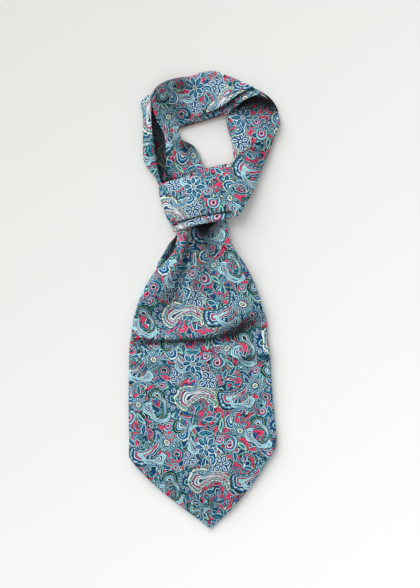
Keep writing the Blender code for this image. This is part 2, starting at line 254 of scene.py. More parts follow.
# Each set: how far its bands reach, and the ink of each band from where it starts. They run inwards from a
# motif's edge in mm, outwards from the middle in a flower's disc, in shares of a petal's half width, in turns
# of a shell, over the ground's scrolls in shares of their noise, and for the stipple by the lightness below
bandSets = {
    "ground": (1, [(0, "navy"), (0.29, "sea"), (0.315, "night"), (0.358, "crimson"), (0.432, "night"),
                   (0.455, "mist"), (0.471, "olive"), (0.478, "navy"), (0.534, "night"), (0.555, "aqua"),
                   (0.575, "night"), (0.605, "crimson"), (0.668, "night"), (0.69, "blue"), (0.72, "navy")]),
    "stipple": (1, [(0, "teal"), (0.13, "night"), (0.35, "teal")]),
    "curl": (2.6, [(0, None), (0.02, "night"), (0.16, "aqua"), (0.42, "blue"), (0.6, "night"),
                   (0.8, "crimson"), (1.0, "navy"), (1.3, "sea"), (1.7, "night")]),
    "budDisc": (6, [(0, "cream"), (0.7, "night"), (1.3, None)]),
    "budPetal": (1, [(0, None), (0.02, "night"), (0.3, "aqua"), (0.6, "navy")]),
    "sprigDisc": (6, [(0, "olive"), (0.8, "navy"), (1.7, None)]),
    "sprigPetal": (1, [(0, None), (0.02, "sea"), (0.24, "navy"), (0.78, "mist")]),
    "plume": (7, [(0, None), (0.05, "night"), (0.5, "mist"), (1.1, "aqua")]),
    "plumeHeart": (7, [(0, None), (1.7, "blue"), (2.1, "aqua"), (2.7, "mist"), (3.2, "navy"), (4.5, "cream"),
                       (5.2, "navy")]),
    "frillPale": (13, [(0, None), (0.05, "night"), (0.7, "olive"), (1.0, "cream"), (2.1, "navy"),
                       (2.9, "aqua"), (3.5, "night")]),
    "corePale": (13, [(0, None), (3.7, "aqua"), (4.7, "navy"), (5.7, "crimson"), (6.6, "night"),
                      (7.2, "mist"), (8.5, "navy"), (9.3, "cream"), (10.8, "navy")]),
    "beadPale": (8, [(0, None), (2.9, "night"), (3.2, "cream"), (3.9, "night"), (4.2, None)]),
    "frillDark": (13, [(0, None), (0.05, "olive"), (0.6, "night"), (1.2, "navy"), (3.5, "sea"),
                       (4.0, "night")]),
    "coreDark": (13, [(0, None), (4.6, "navy"), (6.6, "mist"), (7.4, "night"), (8.0, "crimson"),
                      (9.0, "night"), (9.6, "aqua")]),
    "beadDark": (8, [(0, None), (1.8, "sea"), (2.1, "mist"), (2.9, "night"), (3.2, None)]),
    "frillHook": (8, [(0, None), (0.05, "night"), (0.7, "olive"), (1.1, "mist"), (2.0, "navy")]),
    "coreHook": (8, [(0, None), (3.0, "blue"), (3.7, "aqua"), (4.5, "navy"), (6.1, "cream")]),
    "frillNight": (8, [(0, None), (0.05, "sea"), (0.8, "night"), (2.4, "olive"), (3.0, "navy")]),
    "coreNight": (8, [(0, None), (3.9, "aqua"), (4.8, "blue"), (5.8, "cream"), (6.8, "night")]),
    "shell": (2.6, [(0, None), (0.02, "night"), (0.14, "aqua"), (0.42, "blue"), (0.56, "navy"),
                    (0.72, "crimson"), (0.98, "night"), (1.1, "mist"), (1.5, "teal"), (1.66, "crimson"),
                    (2.0, "night")]),
    "shellDark": (2.6, [(0, None), (0.02, "sea"), (0.14, "navy"), (0.48, "aqua"), (0.6, "night"),
                        (0.72, "crimson"), (0.95, "navy"), (1.3, "cream"), (1.55, "teal"), (1.8, "night")]),
    "daisyDisc": (14, [(0, "olive"), (0.9, "night"), (1.5, "cream"), (2.5, "navy"), (3.6, None)]),
    "daisyPetal": (1, [(0, None), (0.02, "night"), (0.14, "aqua"), (0.38, "navy"), (0.8, "mist")]),
    "starDisc": (14, [(0, "olive"), (1.0, "night"), (1.7, "cream"), (2.9, "navy"), (3.6, "aqua"),
                      (4.4, "navy"), (5.6, None)]),
    "starPetal": (1, [(0, None), (0.02, "night"), (0.1, "mist"), (0.34, "navy"), (0.82, "sea")]),
    "roseDisc": (14, [(0, "night"), (1.2, "olive"), (2.2, "navy"), (3.0, "mist"), (4.2, "teal"),
                      (5.0, None)]),
    "rosePetal": (1, [(0, None), (0.02, "night"), (0.1, "cream"), (0.26, "navy"), (0.62, "mist"),
                      (0.82, "navy")]),
    "fanDisc": (16, [(0, "teal"), (1.4, "night"), (2.2, "aqua"), (3.2, "navy"), (11.2, "sea"),
                     (12.0, "night"), (12.9, None)]),
    "fanPetal": (1, [(0, None), (0.02, "mist"), (0.34, "night"), (0.55, "navy"), (0.84, "cream")]),
    "leaf": (5, [(0, None), (0.05, "night"), (0.6, "olive"), (1.0, "aqua"), (1.9, "teal"), (2.4, "navy")]),
    "leafDark": (5, [(0, None), (0.05, "aqua"), (0.7, "navy"), (2.0, "sea"), (2.6, "night")]),
}

# The print's half-drop repeat in mm. Each motif: where it sits, how it is turned, and its own sizes. "every"
# is how often it comes, and "scatter" strews it over the ground instead: the size of its cells, and the share
# of them that have it
repeat = (96, 84)
motifs = [
    {"kind": "shell", "bands": ["curl"], "at": (0, 0), "size": 2.6, "scatter": (7.6, 0.8)},
    {"kind": "flower", "bands": ["sprigDisc", "sprigPetal"], "at": (37, 71), "petals": 6,
     "petal": (2.7, 1.7, 1.2), "scatter": (10, 0.6)},
    {"kind": "leaf", "bands": ["leafDark"], "at": (91, 13), "size": (5.6, 2.3), "scatter": (10.5, 0.5)},
    {"kind": "flower", "bands": ["budDisc", "budPetal"], "at": (11, 43), "petals": 5,
     "petal": (2.7, 1.7, 1.5), "scatter": (12, 0.45)},
    {"kind": "leaf", "bands": ["leaf"], "at": (4, 31), "turn": -35, "size": (8, 3.0), "every": (48, 42)},
    {"kind": "leaf", "bands": ["leafDark"], "at": (-30, 6), "turn": 100, "size": (9, 3.2), "every": (96, 42)},
    {"kind": "leaf", "bands": ["leaf"], "at": (-14, 12), "turn": 15, "size": (9, 2.8), "every": (48, 84)},
    {"kind": "shell", "bands": ["shell"], "at": (30, 20), "turn": 200, "flip": -1, "size": 4.6,
     "every": (48, 42)},
    {"kind": "flower", "bands": ["fanDisc", "fanPetal"], "at": (40, 4), "turn": 10, "petals": 11,
     "petal": (8.4, 2.9, 1.8)},
    {"kind": "boteh", "bands": ["frillNight", "coreNight"], "at": (20, -8), "turn": 190, "size": (17, 8.6),
     "curl": 2.7, "frill": (0.7, 1.7)},
    {"kind": "boteh", "bands": ["frillNight", "coreNight"], "at": (-40, 26), "turn": -60, "flip": -1,
     "size": (16, 8.2), "curl": 2.7, "frill": (0.7, 1.7)},
    {"kind": "flower", "bands": ["roseDisc", "rosePetal"], "at": (-20, -26), "petals": 7,
     "petal": (5.6, 5.4, 4.0)},
    {"kind": "flower", "bands": ["roseDisc", "rosePetal"], "at": (46, 26), "turn": 20, "petals": 6,
     "petal": (4.4, 4.2, 3.6)},
    {"kind": "boteh", "bands": ["frillPale", "corePale", "beadPale"], "at": (-18, 30), "turn": 120,
     "size": (28, 13.4), "curl": 1.9, "frill": (1.0, 1.5)},
    {"kind": "boteh", "bands": ["frillDark", "coreDark", "beadDark"], "at": (12, -22), "turn": -30,
     "flip": -1, "size": (27, 12.8), "curl": 2.0, "frill": (1.0, 1.3)},
    {"kind": "boteh", "bands": ["plume", "plumeHeart"], "at": (-36, 14), "turn": 20, "size": (21, 7),
     "curl": 2.0, "frill": (0.5, 1.1)},
    {"kind": "boteh", "bands": ["plume", "plumeHeart"], "at": (32, -8), "turn": 250, "flip": -1,
     "size": (19, 6.6), "curl": 2.4, "frill": (0.5, 1.1)},
    {"kind": "boteh", "bands": ["plume", "plumeHeart"], "at": (2, 40), "turn": 300, "size": (17, 6.2),
     "curl": 2.2, "frill": (0.5, 1.1)},
    {"kind": "boteh", "bands": ["frillHook", "coreHook"], "at": (12, 18), "turn": 75, "size": (15, 7.6),
     "curl": 3.2, "frill": (0.7, 1.9)},
    {"kind": "boteh", "bands": ["frillHook", "coreHook"], "at": (-42, -26), "turn": 240, "size": (14, 7.2),
     "curl": 3.4, "frill": (0.7, 1.9)},
    {"kind": "boteh", "bands": ["frillHook", "coreHook"], "at": (42, -20), "turn": 10, "flip": -1,
     "size": (13, 7), "curl": 3.4, "frill": (0.7, 1.9)},
    {"kind": "shell", "bands": ["shell"], "at": (-8, -8), "turn": 120, "size": 6.6},
    {"kind": "shell", "bands": ["shellDark"], "at": (34, 34), "turn": -60, "flip": -1, "size": 6.2},
    {"kind": "flower", "bands": ["daisyDisc", "daisyPetal"], "at": (26, -38), "petals": 9,
     "petal": (7.2, 3.6, 2.3)},
    {"kind": "flower", "bands": ["starDisc", "starPetal"], "at": (-32, -6), "turn": 8, "petals": 8,
     "petal": (6.2, 5.2, 2.9)},
    {"kind": "flower", "bands": ["daisyDisc", "daisyPetal"], "at": (4, 4), "turn": 14, "petals": 7,
     "petal": (5.4, 2.8, 2.2)},
]

# The print's drawing, in mm unless it is a share: how far its lines wander, the ground's scrolls, how freely
# scattered motifs lie, a boteh's taper and beads, how fast a shell winds out, and the stipple
drawing = {"wander": 6, "wanderSize": 11.765, "scrollSize": 10, "scrollDetail": 0.6, "scrollWarp": 0.5,
           "strewn": 0.7, "taper": 0.85, "beadWave": 1.6, "winding": 0.125, "dotPitch": 1.786,
           "dotStray": 0.6, "dotRadius": 0.75, "dotInk": 0.31}


def leafDepth(tree, spec, local):
    # two arcs that meet in a point at either end
    x, y = (put(tree, "SeparateXYZ", [local], out=axis) for axis in "XY")
    long, half = spec["size"]
    radius = (long ** 2 + half ** 2) / (2 * half)
    side = maths(tree, "ADD", maths(tree, "ABSOLUTE", x), radius - half)
    away = put(tree, "VectorMath", [put(tree, "CombineXYZ", [side, y])], out="Value", operation="LENGTH")
    return [maths(tree, "SUBTRACT", radius, away)]


def botehDepth(tree, spec, local):
    # a drop whose fine tail winds up: its frill, which stands out in scallops, its core and its beads
    long, half = spec["size"]
    away = put(tree, "VectorMath", [local], out="Value", operation="LENGTH")
    near = maths(tree, "MULTIPLY_ADD", away, -1 / long, 1, use_clamp=True)
    turn = maths(tree, "MULTIPLY", near, spec["curl"])
    wound = put(tree, "VectorRotate", {"Vector": local, "Angle": turn}, rotation_type="Z_AXIS")
    x, y = (put(tree, "SeparateXYZ", [wound], out=axis) for axis in "XY")
    beyond = maths(tree, "SUBTRACT", y, put(tree, "Clamp", [y, -long, 0]))
    away = put(tree, "VectorMath", [put(tree, "CombineXYZ", [x, beyond])], out="Value", operation="LENGTH")
    down = maths(tree, "MULTIPLY", y, -1 / long, use_clamp=True)
    width = maths(tree, "MULTIPLY", maths(tree, "POWER", down, drawing["taper"]), half)
    core = maths(tree, "SUBTRACT", width, away)
    wave, pitch = spec["frill"]
    ripple = maths(tree, "SINE", maths(tree, "MULTIPLY", y, pitch))
    ripple = maths(tree, "ABSOLUTE", ripple)
    return [maths(tree, "MULTIPLY_ADD", ripple, wave, core), core,
            maths(tree, "MULTIPLY_ADD", ripple, -drawing["beadWave"], core)]


def shellDepth(tree, spec, local):
    # a spiral that winds out: how many turns in from its size a point lies
    x, y = (put(tree, "SeparateXYZ", [local], out=axis) for axis in "XY")
    away = put(tree, "VectorMath", [local], out="Value", operation="LENGTH")
    angle = maths(tree, "ARCTAN2", y, x)
    growth = 2 * math.pi * drawing["winding"]
    reach = maths(tree, "LOGARITHM", away, math.e)
    turns = maths(tree, "MULTIPLY_ADD", reach, -1 / growth, math.log(spec["size"]) / growth)
    return [maths(tree, "MULTIPLY_ADD", angle, 1 / (2 * math.pi), turns)]


def flowerDepth(tree, spec, local):
    # the way out from the middle, for its disc, and how far inside a petal a point lies
    x, y = (put(tree, "SeparateXYZ", [local], out=axis) for axis in "XY")
    away = put(tree, "VectorMath", [local], out="Value", operation="LENGTH")
    centre, long, half = spec["petal"]
    share = math.pi / spec["petals"]
    angle = maths(tree, "ARCTAN2", y, x)
    angle = maths(tree, "WRAP", angle, share, -share)
    out, side = (maths(tree, "MULTIPLY", away, maths(tree, wave, angle)) for wave in ("COSINE", "SINE"))
    out = maths(tree, "MULTIPLY_ADD", out, 1 / long, -centre / long)
    side = maths(tree, "ABSOLUTE", side)
    side = maths(tree, "MULTIPLY", side, 1 / half)
    petal = maths(tree, "MULTIPLY_ADD", out, out, side)
    return [away, maths(tree, "SUBTRACT", 1, petal)]


# How far inside a motif each point lies, for each of its sets of bands
motifDepth = {"leaf": leafDepth, "boteh": botehDepth, "shell": shellDepth, "flower": flowerDepth}


def scattered(tree, spec, flat):
    # a point's place within its own cell, turned by chance, and whether this cell has the motif
    size, share = spec["scatter"]
    moved = put(tree, "VectorMath", [flat, (*spec["at"], 0)], operation="ADD")
    cell = put(tree, "TexVoronoi", {"Vector": moved, "Scale": 1 / size, "Randomness": drawing["strewn"]},
               out="Position")
    chance = put(tree, "SeparateXYZ", [cell.node.outputs["Color"]])
    shown = maths(tree, "LESS_THAN", chance.node.outputs["Y"], share)
    turn = maths(tree, "MULTIPLY", chance, 4 * math.pi)
    local = put(tree, "VectorMath", [moved, cell], operation="SUBTRACT")
    return put(tree, "VectorRotate", {"Vector": local, "Angle": turn}, rotation_type="Z_AXIS"), shown


def repeated(tree, spec, flat):
    # a point's place within a repeat whose columns drop by half of it; every repeat has the motif
    every = spec.get("every", repeat)
    half = (every[0] / 2, every[1] / 2, 1)
    place = put(tree, "VectorMath", [flat, (*spec["at"], 0)], operation="SUBTRACT")
    column = maths(tree, "MULTIPLY", put(tree, "SeparateXYZ", [place]), 1 / every[0])
    drop = maths(tree, "MULTIPLY", maths(tree, "ROUND", column), half[1])
    place = put(tree, "VectorMath", [place, put(tree, "CombineXYZ", [None, drop])], operation="ADD")
    place = put(tree, "VectorMath", [place, half, tuple(-h for h in half)], operation="WRAP")
    turn = math.radians(spec.get("turn", 0))
    return put(tree, "Mapping", {"Vector": place, "Rotation": (0, 0, turn),
                                 "Scale": (spec.get("flip", 1), 1, 1)}), None


# Fine twill: its ribs are drawn 1.6 mm apart, three times their real pitch, so that they show at all
twill = {"pitch": 1.587, "wander": 0.4, "depth": 0.2, "strength": 0.12}
finish = {"Roughness": 0.5, "Sheen Weight": 0.03, "Sheen Roughness": 0.4, "IOR": 1.45,
          "Specular IOR Level": 0.14}
# Along the neck opening the cloth has a thin rusty brown rim. Deep in the folds and hollows the inks are
# darkened towards night as painted shade, more than the laid height alone can darken them. Each: how much of
# the ink it covers at most, and its colour
marks = {"rims": (0.95, "#c46c38"), "paintedShade": (0.97, "#030408")}


def silkMaterial():
    # printed silk twill: dense inks with dark outlines, and the soft shine of a fine smooth cloth
    material = bpy.data.materials.new("printed silk twill")
    material.use_nodes = True
    tree = material.node_tree
    tree.nodes.clear()
    place = put(tree, "UVMap", uv_map=cloth["uvName"])
    flat = put(tree, "Mapping", {"Vector": place, "Scale": (1 / mm, 1 / mm, 1 / mm)})
    # nothing in the print is drawn with a ruler: each line wanders by up to a millimetre or two
    wander = put(tree, "TexNoise", {"Vector": flat, "Scale": 1 / drawing["wanderSize"], "Detail": 1.0},
                 out="Color")
    flat = put(tree, "VectorMath", [wander, (drawing["wander"], drawing["wander"], 0), flat],
               operation="MULTIPLY_ADD")
    scroll = put(tree, "TexNoise", {"Vector": flat, "Scale": 1 / drawing["scrollSize"],
                                    "Detail": drawing["scrollDetail"], "Distortion": drawing["scrollWarp"]})
    colour = put(tree, "ValToRGB", [scroll], bands=bandSets["ground"])
    for spec in motifs:
        local, shown = (scattered if "scatter" in spec else repeated)(tree, spec, flat)
        for name, depth in zip(spec["bands"], motifDepth[spec["kind"]](tree, spec, local)):
            reach, bands = bandSets[name]
            scaled = maths(tree, "MULTIPLY", depth, 1 / reach, use_clamp=True)
            ink = put(tree, "ValToRGB", [scaled], bands=(reach, bands))
            over = ink.node.outputs["Alpha"]
            if shown:
                over = maths(tree, "MULTIPLY", over, shown)
            colour = blend(tree, over, colour, ink)
    # engraver's stipple: dark dots on the light inks and light ones on the dark
    dots = put(tree, "TexVoronoi", {"Vector": flat, "Scale": 1 / drawing["dotPitch"],
                                    "Randomness": drawing["dotStray"]})
    dots = maths(tree, "LESS_THAN", dots, drawing["dotRadius"] / drawing["dotPitch"])
    share = maths(tree, "MULTIPLY", dots, drawing["dotInk"])
    other = put(tree, "ValToRGB", [colour], bands=bandSets["stipple"])
    colour = blend(tree, share, colour, other)
    # painted shade: the inks are mixed towards near black where a sheet's folds and hollows are marked, and
    # towards the rim's brown along the rim
    for mark, (most, ink) in marks.items():
        amount = put(tree, "Attribute", out="Fac", attribute_name=mark)
        amount = maths(tree, "MULTIPLY", amount, most)
        colour = blend(tree, amount, colour, hexColour(ink))
    # a wave texture's slanting bands come every 2 pi / 10 of a unit along either axis
    scale = 2 * math.pi / 10 / (math.sqrt(2) * twill["pitch"])
    ribs = put(tree, "TexWave", {"Vector": flat, "Scale": scale, "Distortion": twill["wander"]}, out="Fac",
               bands_direction="DIAGONAL")
    bump = put(tree, "Bump", {"Height": ribs, "Strength": twill["strength"], "Distance": twill["depth"] * mm})
    shader = put(tree, "BsdfPrincipled", {**finish, "Base Color": colour, "Normal": bump})
    put(tree, "OutputMaterial", [shader], out=None)
    return material


silk = silkMaterial()
print("material ready")

# Each piece, in mm: how its print is turned and shifted, how far its edges tuck under, its rows, and its
# creases, rumples, rims and painted shade. A bend of a crease is its place, its height, and its width to
# either side

# Crest of the big fold across the front blade
bigFold = [(-78, -34, 2.2, 12, 3.2), (-52, -36.6, 3.8, 14, 3.2), (-34, -37, 5.6, 16, 3.4),
           (-4, -34.4, 6.6, 16, 3.8), (14, -31, 7, 15, 5), (28, -24, 7.5, 13, 8), (42, -15, 7, 12, 10),
           (58, -8, 4, 10, 9)]

# Front blade, out of the knot down to its point: its two edges, straight across the blade
frontBlade = {
    "grain": 9, "printAt": (-14, 52),
    "rows": table(
        "y x0 x1",
        (96, -22, 16), (84, -25, 21), (76, -27.2, 24.2), (68, -27.6, 24.4), (62, -27, 26), (56, -28.4, 28.4),
        (50, -29.6, 31.2), (44, -33.6, 35.6), (38, -39, 40), (32, -46.6, 43.4), (26, -51.2, 46.6),
        (20, -55, 49.4), (14, -58.6, 52), (8, -61.8, 54.4), (2, -64.4, 56.4), (-4, -66.4, 58.6),
        (-16, -70, 62), (-22, -71.4, 63.4), (-28, -72.4, 63.4), (-34, -73.2, 63.8), (-40, -74, 64.4),
        (-52, -75, 66), (-76, -75.4, 67.6), (-100, -75.8, 69.2), (-124, -75.6, 71.6), (-138, -75.2, 72.8),
        (-146, -75.4, 72.8), (-151, -75.4, 70.6), (-157.4, -75.2, 66.6), (-166, -68.8, 61.2),
        (-175, -60.4, 55.2), (-184, -51.6, 48.8), (-193, -41, 42), (-202, -29.8, 34.4), (-211, -17.8, 26.4),
        (-220, -5.4, 16.8), (-228.8, 4.2, 7.2)),
    # how high it lies, from its tip up, and how far its edges' undersides clear the surface there
    "lie": 7.2, "tipLie": 3.4, "tip": (-228.8, -150), "over": ((-214, -200), (0.3, 1.45)),
    "roll": 3.1, "mostRoll": 0.4, "low": 2.3, "fine": 1.2, "smooth": False, "tuck": 5,
    "creases": [
        # hollow under the knot
        [(-2, 96, -3, 14, 12), (-2, 70, -5.4, 13, 11), (-3, 58, -5.0, 10, 10), (-10, 46, -4.0, 8, 6),
         (-18, 28, -3.8, 7, 5), (-26, 10, -3.4, 8, 6), (-42, -6, -3.4, 8, 7), (-62, -17, -3, 7, 7),
         (-76, -22, -1.4, 7, 7)],
        # ridge down the left of the neck, steep on its inner side
        [(-20, 98, 1.0, 5, 6), (-19, 74, 1.5, 5, 6), (-19, 64, 7.5, 5, 7), (-24, 46, 8.5, 5, 10),
         (-33, 28, 7.5, 6, 13), (-42, 12, 5.8, 7, 13), (-54, 0, 3.6, 8, 12), (-66, -10, 1.2, 8, 8)],
        # ridge down its right
        [(15, 98, 1.0, 8, 5), (19, 74, 1.5, 8, 5), (22, 64, 7.0, 10, 5), (29, 48, 7.4, 12, 6),
         (37, 32, 5.0, 13, 8), (46, 12, 2.6, 14, 12), (56, -2, 0.5, 10, 10)],
        # middle of the blade, blown up under the hollow
        [(4, 48, 0, 14, 8), (8, 34, 2.0, 18, 12), (14, 14, 3.6, 22, 22), (18, -6, 5.0, 24, 30),
         (20, -20, 3.8, 24, 30)],
        # the big fold across, which drops steeply below its crest
        bigFold,
        # the tight crevice under its crest
        [(-78, -40, -3.0, 3, 3), (-52, -42.6, -3.7, 3, 3), (-34, -44, -3.7, 3, 3), (-4, -41.8, -3.7, 3, 3),
         (14, -39, -3.7, 3, 4), (30, -36, -3.7, 4, 6), (44, -28, -3.7, 8, 7), (58, -19, -3, 6, 6)],
        # the swell below it
        [(-76, -60, 4.0, 10, 5), (-56, -62, 5.4, 11, 5), (-36, -63, 3.8, 11, 7), (0, -60, 2.2, 10, 14),
         (26, -56, 3.2, 9, 9), (44, -54.5, 5, 8, 3), (68, -54, 3.6, 7, 3)],
        [(-74, -80, 0.6, 8, 12), (-50, -84, 1.0, 9, 14), (-20, -86, 0, 9, 14)],
        # slack waves across the rest of it, the last one before it drops to its point
        [(-40, -98, -1.0, 12, 14), (-14, -106, -1.6, 12, 14), (10, -122, -1.2, 12, 14)],
        [(50, -76, -1.0, 9, 12), (57, -100, -1.8, 9, 14), (58, -128, -0.6, 9, 12)],
        [(-76, -160, 1.6, 22, 18), (-34, -164, 2.8, 24, 20), (6, -168, 1.8, 22, 22), (44, -172, 0.2, 20, 20)],
        # a last fall to the very tip
        [(-40, -192, 0, 12, 16), (-10, -203, 1.5, 12, 16), (20, -203, 1.5, 12, 16), (44, -190, 0, 12, 16)],
        # slight drag lines out of the knot
        [(6, 54, 0, 2.5, 2.5), (16, 34, 1.2, 3, 3), (30, 14, 0.8, 3, 4), (42, 2, 0, 4, 4)],
        [(-2, 48, 0, 2.5, 2.5), (2, 30, 1.0, 3, 3), (2, 8, 0.9, 4, 4), (-4, -10, 0, 5, 5)],
        [(24, 60, 0, 2, 2), (30, 44, 0.9, 2.5, 2.5), (42, 26, 0.8, 3, 3), (50, 12, 0, 3, 3)],
        [(-30, 44, 0, 2, 2), (-42, 26, 1.0, 2.5, 3), (-54, 10, 0.8, 3, 3), (-64, -6, 0, 3, 3)],
    ],
    "leans": [(0.06, -0.42, bigFold)],  # its crest leans down over the crevice
    # painted shade: the hollow under the knot and the trough down from it, beside the left ridge, on the
    # right shoulder, along the big fold and small creases, and lightly towards the tip
    "paintedShade": [
        [(-0.4, 90, 6, 8.8, 7.8), (-0.8, 77, 4, 8.8, 7.4), (-0.6, 71.5, 1.35, 9, 8), (1, 64, 0.89, 10, 9),
         (3, 55, 0.7, 11, 9), (4, 44, 0.6, 10, 10), (0, 32, 0.45, 9, 9), (-5, 18, 0.42, 9, 9),
         (-8, 4, 0.36, 9, 9), (-14, -6, 0.2, 8, 8)],
        [(-15, 64, 0.4, 3, 3), (-17, 50, 0.5, 3.6, 3), (-20, 36, 0.5, 4, 3), (-24, 22, 0.5, 5, 4),
         (-31, 8, 0.46, 7, 5), (-37, -6, 0.5, 11, 9), (-46, -14, 0.42, 10, 9), (-60, -20, 0.3, 8, 8)],
        [(44, 18, 0.1, 8, 8), (49, 4, 0.2, 8, 8), (50, -8, 0.26, 7, 7)],
        [(-72, -42, 0.35, 3, 1.8), (-56, -43.2, 0.6, 3.4, 2), (-34, -41.8, 0.72, 3.4, 1.8),
         (-8, -40.2, 0.72, 3.6, 1.8), (10, -38.6, 0.74, 6, 2.6), (26, -34, 0.85, 12, 4.5),
         (39, -27.6, 0.88, 15, 6), (49, -22.6, 0.6, 11, 6), (58, -18, 0.15, 6, 5)],
        [(36, -60, 0.3, 2, 2), (46, -60.4, 0.5, 2, 2), (62, -62, 0.4, 2, 2)],
        [(60, -27, 0.3, 3, 3), (64, -28, 0.35, 3, 3)],
        [(-44, -184, 0.06, 16, 16), (-14, -200, 0.2, 22, 22), (10, -208, 0.24, 22, 22),
         (34, -196, 0.1, 18, 18)],
    ],
    "rumples": [(60, 1.0, 3.1), (22, 0.5, 9.4)],
}


def bladeSection(piece):
    # the blade's rows as sections for sectionPoints: its sides softly folded, not pressed
    rows = piece["rows"]
    level = np.interp(rows["y"], piece["tip"], (piece["tipLie"], piece["lie"]))
    clear = np.interp(rows["y"], *piece["over"])
    roll = np.minimum(piece["roll"], (rows["x1"] - rows["x0"]) * piece["mostRoll"])
    roll = np.minimum(roll, (level - clear) / 2)
    return {"y0": rows["y"], "y1": rows["y"], "x0": rows["x0"], "x1": rows["x1"], "z0": level, "z1": level,
            "r0": roll, "r1": roll, "rise": 0 * level}


frontBlade["rows"] = bladeSection(frontBlade)

# Neckband, the fold that shows on top: up the left side of the loop, round the corner, across the top
neckFold = {
    "grain": 62, "printAt": (70, 9), "tuck": 7, "low": 1.4,
    "rows": table(
        "x0 y0 x1 y1 z0 r0 z1 r1 rise",
        (-34.5, 102, 9, 116, 5.0, 1.3, 5.0, 1.7, 0.5),
        (-37.6, 113, 6, 126, 5.8, 1.3, 5.4, 1.9, 0.4),
        (-40.5, 122, 1.5, 132, 8.0, 1.3, 6.2, 2.3, 0.6),
        (-38.7, 135, -1.5, 137, 10.4, 1.3, 6.4, 2.5, 0.8),
        (-38, 148, -5.5, 148, 12.0, 1.3, 6.0, 2.3, 0.4),
        (-38.4, 158, -11, 155, 12.2, 1.3, 5.6, 2.1, 0.2),
        (-40.4, 166, -19, 159.6, 12.4, 1.3, 6.0, 2.3, 1.2),
        (-45.4, 175, -24.3, 164.2, 12.0, 1.3, 6.6, 2.6, 1.8),
        (-49.4, 185, -25.8, 170, 10.2, 1.3, 6.2, 2.4, 1.4),
        (-51.8, 195, -25.5, 172.6, 8.6, 1.6, 5.8, 2.0, 0.6),
        (-52.7, 203, -24, 174.2, 9.4, 3.0, 6.2, 1.6, 1.0),
        (-49, 211.4, -20, 176.6, 12.6, 4.4, 7.0, 1.2, 1.8),
        (-39.5, 218.1, -13, 179.8, 14.6, 5.0, 8.0, 1.1, 2.0),
        (-26, 222.3, -6, 183.2, 13.6, 5.0, 9.0, 1.1, 2.0),
        (-14, 223.9, 1, 186.2, 11.6, 4.8, 10.0, 1.1, 2.0),
        (-3, 228, 8, 188.8, 8.4, 4.0, 12.6, 1.1, 1.2),
        (9, 229.8, 15, 191.5, 7.0, 3.4, 14.2, 1.1, 0.6),
        (22.3, 225.4, 24.5, 197.5, 6.6, 3.2, 15.0, 1.1, 0.3),
        (34.4, 220.5, 34.4, 204.8, 7.2, 3.2, 14.6, 1.0, 0.2),
        (43, 216.2, 42, 208.4, 10.2, 3.0, 12.6, 1.0, 0.3),
        (50, 212.4, 48.4, 210.2, 11.6, 0.8, 12.6, 0.8, 0)),
    "creases": [
        [(-54, 202, -1.0, 7, 3), (-45, 194, -4.4, 10, 3.4), (-35, 183, -4.6, 11, 3.6),
         (-27, 174, -2.5, 8, 3)],
        [(-51, 190, 0.6, 4, 6), (-43, 181, 1.6, 4, 6), (-34, 173, 1.0, 4, 6)],
        [(-22, 157, -1.5, 4, 4), (-14, 153, -3.6, 4, 5), (-8, 149, -2, 4, 5)],
        [(-30, 132, -1.2, 5, 5), (-18, 134, -2.0, 5, 5), (-8, 142, -1, 5, 5)],
        [(-36, 214, 0, 8, 8), (-24, 206, -1.6, 9, 9), (-12, 194, -2.2, 9, 8), (-8, 186, -1, 8, 8)],
        [(-12, 222, 0, 8, 8), (2, 210, 1.4, 8, 10), (10, 196, 0.6, 6, 6)],
    ],
    "rumples": [(26, 0.9, 1.3), (12, 0.35, 4.4)],
    "rims": [[(-9, 153.4, 0.5, 0.7, 0.7), (-5.4, 148, 0.8, 0.7, 0.7), (-3.2, 142.4, 0.8, 0.7, 0.7),
              (-1.4, 137, 0.8, 0.7, 0.7), (1.6, 132, 0.5, 0.7, 0.7)]],
    # painted shade: along the corner's crease, over the left of the top, in the crease by the notch, along
    # the wrap's upper edge and beside the channel
    "paintedShade": [
        [(-47, 204, 0.2, 10, 7), (-38, 197, 0.45, 12, 9), (-28, 188, 0.42, 12, 8), (-22, 179, 0.3, 8, 6)],
        [(-48, 213, 0.5, 8, 8), (-34, 214, 0.68, 10, 10), (-20, 214, 0.68, 10, 12), (-10, 214, 0.4, 7, 8)],
        [(-27, 157, 0.25, 6, 6), (-19, 151, 0.42, 7, 7), (-12, 145, 0.4, 6, 5)],
        [(-27, 156, 0.3, 3, 3), (-20, 156, 0.55, 4, 5), (-13, 154.6, 0.75, 4, 5), (-9, 152, 0.4, 3, 3)],
        [(-6, 184, 0.0, 3, 3), (4, 190, 0.2, 3, 3)],
        [(-42, 117, 0.9, 2.4, 2.4), (-37, 119.4, 0.6, 2.4, 2.4), (-26, 121.8, 0.4, 2.2, 2.2),
         (-12, 127.6, 0.35, 2, 2), (2, 132.6, 0.3, 2, 2)],
        [(-52, 196, 0.2, 4, 4), (-47, 184, 0.4, 5, 5), (-43, 175, 0.35, 4, 5), (-39, 166, 0.1, 4, 4)],
        [(-38.6, 146, 0.2, 3, 3), (-38, 134, 0.55, 4, 4), (-36, 122, 0.8, 6, 5)],
    ],
}

